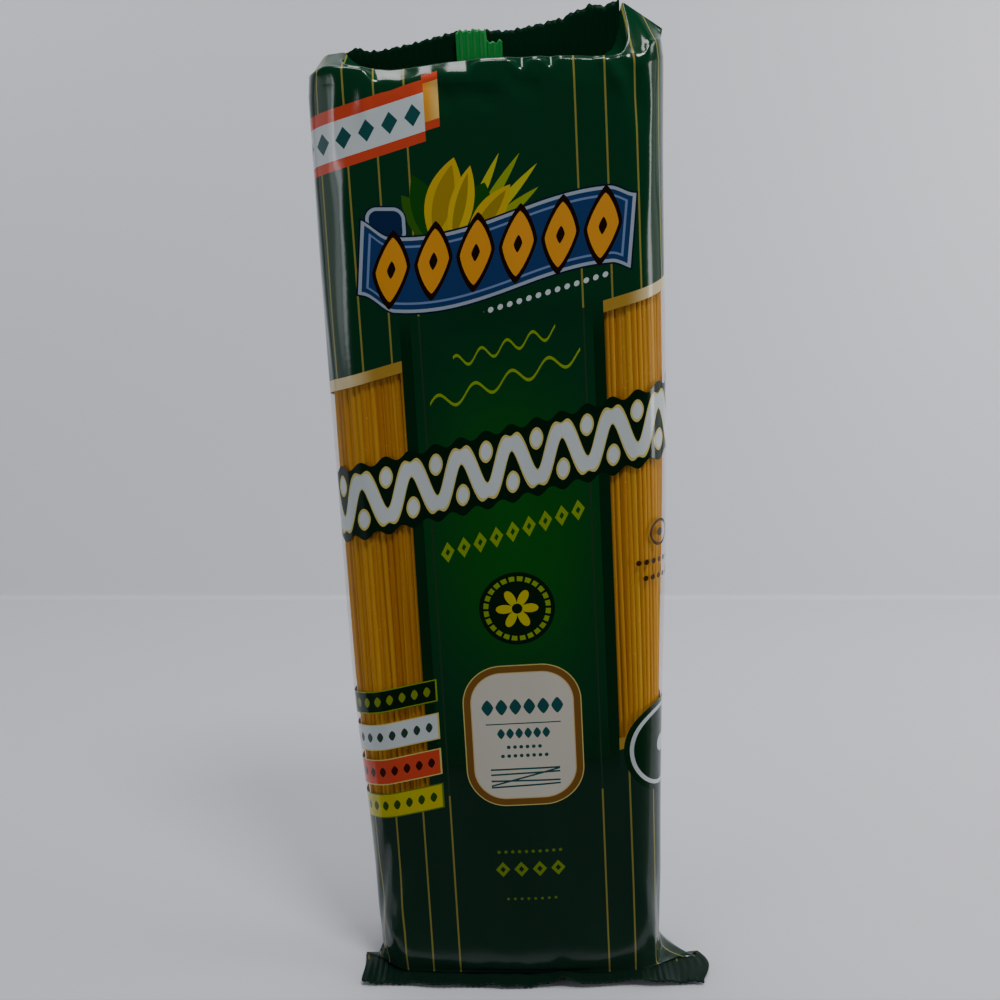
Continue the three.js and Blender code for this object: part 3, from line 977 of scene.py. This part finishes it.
def floorSealPlace(columnShare, rowShare):
    u = mix(-wrapper["quarter"], wrapper["quarter"], columnShare)
    reach = wrapper["floorHalfRight"] if u > 0 else wrapper["floorHalfLeft"]
    across = u / wrapper["quarter"] * reach
    forward = 1 - rowShare
    tooth = abs((across / floorSeal["toothPitch"]) % 1 * 2 - 1) * floorSeal["toothDeep"]
    front = floorSeal["frontY"] - floorSeal["bow"] * math.sin(math.pi * columnShare) + tooth
    front += 0.7 * math.sin(across / 5.5) * math.sin(across / 9 + 2)
    ear = smooth(abs(across), 41, 52)
    y = mix(wrapper["floorRootY"] + (2.0 * ear if u > 0 else 0), front, forward)
    z = 0.75
    z += 0.3 * math.sin(across / 1.4 + 2 * math.sin(across / 8)) * forward ** 2
    for centre, wide, tall in floorWaves:
        z += tall * math.exp(-((across - centre) / wide) ** 2) * forward ** 2
    z += ear * (0.9 if u > 0 else 1.3) * math.sin(math.pi * clamp(forward * 0.8))
    across += (2.6 if u > 0 else 0.6) * ear * math.sin(math.pi * clamp(forward * 1.1))
    rib = floorSeal["ribDeep"] * math.sin(2 * math.pi * u / floorSeal["ribPitch"])
    rib *= smooth(forward, 0.15, 0.35) * mix(0.25, 1.0, smooth(abs(across), 32, 44))
    return Vector((pack["footX"] + across, y + pack["shiftY"], z + rib)), (u, -18 * forward)


def makeFloorSeal():
    seal = filmSheet("floorSeal", floorSeal["columns"], floorSeal["rows"], floorSealPlace)
    return finishSeal(seal, floorSeal["thick"], materials["sealed"])


# The lengthwise seam on the back, a flap folded flat to one side, and its end in the top fin
backSeam = {
    "columns": 42,
    "rows": 160,
    "half": 5.5,
    "foot": 3.0,
    "top": 262.0,
    "stand": 0.45,  # clear of the back face
    "thick": 0.3,
    "ribPitch": 1.6,
    "ribDeep": 0.07,
}


def backSeamPlace(columnShare, rowShare):
    high = mix(backSeam["foot"], backSeam["top"], rowShare)
    along = mix(backSeam["half"], -backSeam["half"], columnShare)
    across = rightEdge(high) + leftEdge(high) + along + 0.5 * math.sin(high / 23) * columnShare
    flare = 0.35 * columnShare * (1 + math.sin(high / 11) * math.sin(high / 7))
    rib = backSeam["ribDeep"] * math.sin(2 * math.pi * along / backSeam["ribPitch"])
    deep = backFace(high) + pack["crown"] + backSeam["stand"] + flare + rib
    return stand(across, deep, high), (100 + along, high)


def makeBackSeam():
    seam = filmSheet("backSeam", backSeam["columns"], backSeam["rows"], backSeamPlace)
    return finishSeal(seam, backSeam["thick"], materials["seam"])


# The tab that the seam leaves in front of the top fin, cut in two steps
seamTab = {
    "columns": 60,
    "rows": 12,
    "left": -7.6,
    "right": 4.6,
    "step": 0.4,
    "low": 264.0,
    "highLeft": 273.6,
    "highRight": 270.4,
    "thick": 0.25,
    "ribPitch": 1.75,
    "ribDeep": 0.2,
}


def seamTabPlace(columnShare, rowShare):
    t = seamTab
    across = mix(t["left"], t["right"], columnShare)
    stepped = smooth(across, t["step"] - 0.15, t["step"] + 0.15)
    ragged = 0.35 * math.sin(across * 3.6) + 0.2 * math.sin(across * 1.9)
    top = mix(t["highLeft"], t["highRight"], stepped) + ragged
    high = mix(t["low"], top, rowShare)
    rib = t["ribDeep"] * math.sin(2 * math.pi * across / t["ribPitch"])
    deep = midDepth(pack["fold"]) - 1.6 + rib + 0.5 * stepped
    return stand(across, deep, high), (across, 290)


def makeSeamTab():
    tab = filmSheet("seamTab", seamTab["columns"], seamTab["rows"], seamTabPlace)
    return finishSeal(tab, seamTab["thick"], materials["seam"])


topFin = makeTopSeal()
floorFin = makeFloorSeal()
seam = makeBackSeam()
tab = makeSeamTab()
print("seals made")

# The spaghetti: a core, and strands round it in two layers that wander and cross a little
bundle = {
    "seed": 7,
    "radius": 0.9,
    "pitch": 1.6,
    "firstInset": 1.95,
    "secondInset": 2.35,
    "foot": 7.0,
    "top": 255.0,
    "wander": 0.2,
    "steps": 14,
    "sides": 8,
    "coreInset": 4.6,
    "coreFoot": 9.0,
    "coreTop": 251.0,
}


def strandRing(travel, inset, dice):
    phase, drift = dice.uniform(0, 6.28), dice.uniform(-0.3, 0.3)
    depth = dice.uniform(-0.12, 0.16)
    radius = bundle["radius"] * dice.uniform(0.92, 1.05)
    foot = bundle["foot"] + dice.uniform(-2, 2)
    top = bundle["top"] + dice.uniform(-3, 2)
    rings = []
    for step in range(bundle["steps"] + 1):
        high = mix(foot, top, step / bundle["steps"])
        way = travel + bundle["wander"] * math.sin(high / 38 + phase) + drift * (high - 130) / 130
        sink = inset + depth + 0.1 * math.sin(high / 29 + phase * 2)
        across, deep = sectionPlace(high, way, sink)
        rings.append(stand(across, deep, high))
    return rings, radius


# Made from points and not by operators: each strand wanders its own way and keeps its own tint
def makeStrands():
    dice = random.Random(bundle["seed"])
    sides = bundle["sides"]
    verts, faces, tints = [], [], []
    for inset, shift in ((bundle["firstInset"], 0.0), (bundle["secondInset"], 0.5)):
        count = int(2 * pack["halfGirth"] / bundle["pitch"])
        for number in range(count):
            travel = mix(-pack["halfGirth"], pack["halfGirth"], (number + shift) / count)
            rings, radius = strandRing(travel, inset, dice)
            tint = clamp(dice.gauss(0.5, 0.22))
            base = len(verts)
            for centre in rings:
                for side in range(sides):
                    angle = 2 * math.pi * side / sides
                    verts.append((centre + Vector((math.cos(angle), math.sin(angle), 0)) * radius) * mm)
                    tints.append(tint)
            for step in range(len(rings) - 1):
                low = base + step * sides
                for side in range(sides):
                    after = (side + 1) % sides
                    faces.append((low + side, low + after, low + sides + after, low + sides + side))
            faces.append(tuple(base + side for side in reversed(range(sides))))
            last = base + (len(rings) - 1) * sides
            faces.append(tuple(last + side for side in range(sides)))
    mesh = bpy.data.meshes.new("spaghettiStrands")
    mesh.from_pydata(verts, [], faces)
    attribute = mesh.attributes.new("strandTint", "FLOAT", "POINT")
    attribute.data.foreach_set("value", tints)
    strands = bpy.data.objects.new("spaghettiStrands", mesh)
    bpy.context.scene.collection.objects.link(strands)
    pickOnly(strands)
    bpy.ops.object.shade_smooth_by_angle(angle=math.radians(60))
    setMaterial(strands, materials["pasta"])
    return strands


def makeCore():
    bpy.ops.object.select_all(action="DESELECT")
    bpy.ops.mesh.primitive_cylinder_add(vertices=96, radius=1, depth=2, end_fill_type="NGON")
    core = bpy.context.object
    core.name = "spaghettiCore"
    core.data.name = "spaghettiCore"
    for vertex in core.data.vertices:
        turn = math.atan2(vertex.co.y, vertex.co.x) / math.pi
        high = bundle["coreFoot"] if vertex.co.z < 0 else bundle["coreTop"]
        across, deep = sectionPlace(high, turn * pack["halfGirth"], bundle["coreInset"])
        vertex.co = stand(across, deep, high) * mm
    bpy.ops.object.mode_set(mode="EDIT")
    bpy.ops.mesh.select_all(action="SELECT")
    bpy.ops.mesh.normals_make_consistent(inside=False)
    bpy.ops.object.mode_set(mode="OBJECT")
    bpy.ops.object.shade_smooth_by_angle(angle=math.radians(40))
    setMaterial(core, materials["core"])
    return core


strands = makeStrands()
core = makeCore()
print("spaghetti made", len(strands.data.polygons))

for piece, slot, node in (
    (film, "printed_film", "film_wrapper"),
    (windows, "clear_film", "film_wrapper"),
    (topFin, "printed_film", "film_wrapper"),
    (floorFin, "printed_film", "film_wrapper"),
    (seam, "printed_film", "film_wrapper"),
    (tab, "printed_film", "film_wrapper"),
    (strands, "dry_pasta", "spaghetti"),
    (core, "dry_pasta", "spaghetti"),
):
    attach(piece, "root")
    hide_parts(node)

# Studio: a pale table against a pale wall, soft boxes at both sides and one overhead
studio = {
    "half": 1.6,
    "wallY": 0.3545,
    "wallHigh": 1.3,
    "bend": 0.003,
    # Depths between which the table is painted dark towards the camera: painted shade
    "paintedShadeFrom": -0.0255,
    "paintedShadeTo": -0.031,
    "air": 0.05,
}


# Matt white board. Towards the camera its colour is painted near black: painted shade, which keeps the
# pack's dark front dark
def boardMaterial():
    material, tree, output = newMaterial("mattWhiteBoard")
    place = addNode(tree, "SeparateXYZ", {0: addNode(tree, "TexCoord").outputs["Object"]})
    # Painted shade: the board darkens to near black towards the camera
    paintedFloorShade = Field(tree, place.outputs[1]).ramp(studio["paintedShadeFrom"], studio["paintedShadeTo"])
    colour = paint(linear("#cecfd5"), paintedFloorShade, "#18191b")
    shader = addNode(tree, "BsdfPrincipled", {"Base Color": colour, "Roughness": 0.6})
    tree.links.new(shader.outputs[0], output.inputs[0])
    return material


def makeStage():
    bpy.ops.object.select_all(action="DESELECT")
    bpy.ops.mesh.primitive_plane_add(size=2)
    stage = bpy.context.object
    stage.name = "tableAndWall"
    half, wallY = studio["half"], studio["wallY"]
    for vertex in stage.data.vertices:
        vertex.co = (vertex.co.x * half, wallY if vertex.co.y > 0 else -half, 0)
    bpy.ops.object.mode_set(mode="EDIT")
    bpy.ops.mesh.select_all(action="DESELECT")
    bpy.ops.object.mode_set(mode="OBJECT")
    for edge in stage.data.edges:
        edge.select = all(stage.data.vertices[at].co.y > 0 for at in edge.vertices)
    bpy.ops.object.mode_set(mode="EDIT")
    bpy.ops.mesh.select_mode(type="EDGE")
    bpy.ops.mesh.extrude_region_move(TRANSFORM_OT_translate={"value": (0, 0, studio["wallHigh"])})
    bpy.ops.object.mode_set(mode="OBJECT")
    applyModifier(stage, "BEVEL", width=studio["bend"], segments=6, limit_method="ANGLE")
    bpy.ops.object.shade_smooth_by_angle(angle=math.radians(30))
    setMaterial(stage, boardMaterial())


# Soft boxes: name, place, aim, size and glow. The strips make the narrow bright bands on the pack's edges
softBoxes = (
    ("overhead", (-0.08, 0.0, 0.9), (-0.05, 0, 0.26), (0.42, 0.15), 11),
    ("key", (0.18, -0.42, 1.0), (0, 0, 0.1), (0.2, 0.2), 36),
    ("highRight", (0.55, -0.05, 0.5), (0, 0, 0.05), (0.2, 0.2), 6),
    ("sideRight", (0.62, 0.08, 0.16), (0, 0.08, 0.16), (0.35, 0.3), 0.8),
    ("stripRight", (0.62, -0.18, 0.16), (0.05, -0.02, 0.16), (0.13, 0.3), 8),
    ("sideLeft", (-0.6, -0.08, 0.16), (0, -0.08, 0.16), (0.52, 0.3), 0.9, "#f4f8ff"),
    ("cornerLeft", (-0.65, -0.47, 0.18), (-0.05, -0.02, 0.18), (0.17, 0.3), 2.6, "#f4f8ff"),
    ("stripLeft", (-0.53, -0.59, 0.2), (-0.05, -0.02, 0.2), (0.12, 0.3), 6, "#f4f8ff"),
    ("wallWashRight", (0.42, 0.1, 0.5), (0.32, 0.352, 0.3), (0.2, 0.2), 4),
    ("wallGlowRight", (0.34, 0.14, 0.22), (0.24, 0.354, 0.2), (0.1, 0.25), 3),
    ("wallGlowLeft", (-0.34, 0.14, 0.42), (-0.24, 0.354, 0.32), (0.1, 0.2), 4),
)


# glow is the light's own brightness, so its power follows from its size
def addLight(name, place, aim, size, glow, colour="#ffffff"):
    light = bpy.data.lights.new(name, "AREA")
    light.shape = "RECTANGLE"
    light.size, light.size_y = size
    light.energy = math.pi * glow * size[0] * size[1]
    light.color = linear(colour)[:3]
    lamp = bpy.data.objects.new(name, light)
    lamp.location = place
    lamp.rotation_euler = (Vector(aim) - Vector(place)).to_track_quat("-Z", "Y").to_euler()
    bpy.context.scene.collection.objects.link(lamp)


def makeStudio():
    makeStage()
    for box in softBoxes:
        addLight(*box)
    world = bpy.data.worlds.new("studioAir")
    bpy.context.scene.world = world
    world.use_nodes = True
    air = world.node_tree.nodes["Background"]
    air.inputs[0].default_value = linear("#c4c8d2")
    air.inputs[1].default_value = studio["air"]


# The photographed view
view = {
    "place": (-0.00521, -0.4647, 0.264),
    "pitch": 14.5,  # degrees down from level
    "focal": 1680.0,  # in pixels, as the picture's width below
    "frame": 1000.0,
    "sensor": 36.0,
}


def makeCamera():
    data = bpy.data.cameras.new("photoView")
    data.sensor_width = view["sensor"]
    data.lens = view["focal"] / view["frame"] * view["sensor"]
    data.clip_start = 0.01
    camera = bpy.data.objects.new("photoView", data)
    camera.location = view["place"]
    camera.rotation_euler = (math.radians(90 - view["pitch"]), 0, 0)
    bpy.context.scene.collection.objects.link(camera)
    bpy.context.scene.camera = camera


makeStudio()
makeCamera()
print("studio made")
